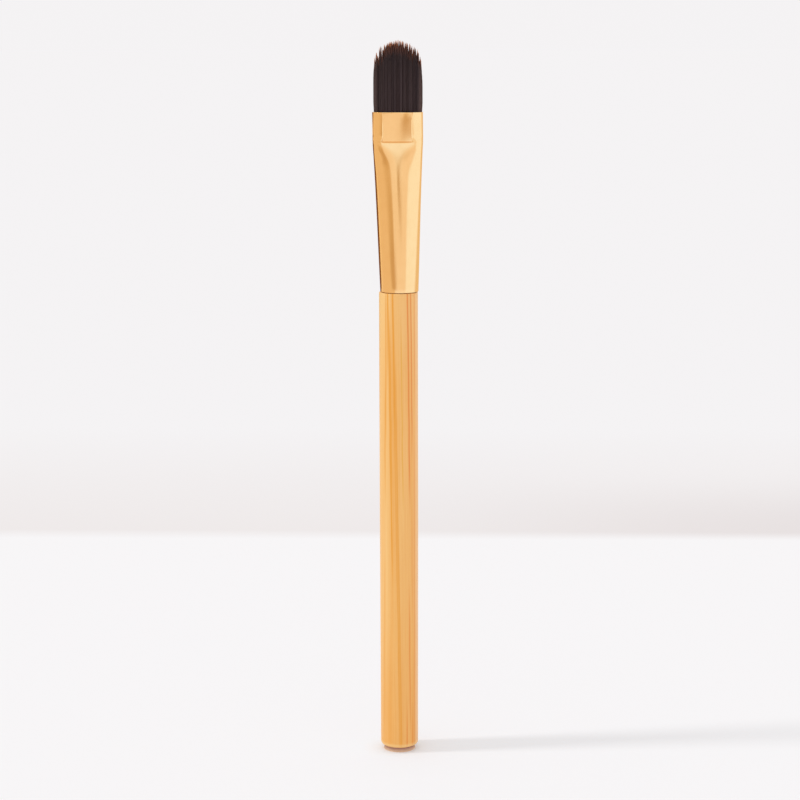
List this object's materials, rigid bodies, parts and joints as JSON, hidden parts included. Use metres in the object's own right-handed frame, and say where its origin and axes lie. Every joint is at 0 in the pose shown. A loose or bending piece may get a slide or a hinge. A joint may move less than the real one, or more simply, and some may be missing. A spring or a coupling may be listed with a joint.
{
  "type": "concealer brush",
  "caption": "Slim makeup brush with a flat round-topped tuft, a pressed metal ferrule and a turned bamboo handle, for dabbing and blending concealer.",
  "frame": {"origin": "centre of the flat end of the handle, which the brush stands on", "axes": "+Z along the brush from the handle's flat end to the tip of the tuft, +X across the broad face of the ferrule, and a broad face looks along -Y"},
  "size_m": [0.0114, 0.0088, 0.1641],
  "materials": {
    "bamboo": "satin lacquered bamboo",
    "gold_metal": "polished gold-coloured anodised metal",
    "bristle": "dark brown synthetic filament with rust-brown tips",
    "resin": "cured clear brown resin",
    "thread": "twisted cotton",
    "adhesive": "cured amber adhesive"
  },
  "bodies": {
    "root": {"bamboo_handle": "bamboo", "ferrule": "gold_metal", "bristle_tuft": "bristle", "resin_plug": "resin", "binding_thread": "thread", "tenon_glue": "adhesive"}
  },
  "joints": []
}
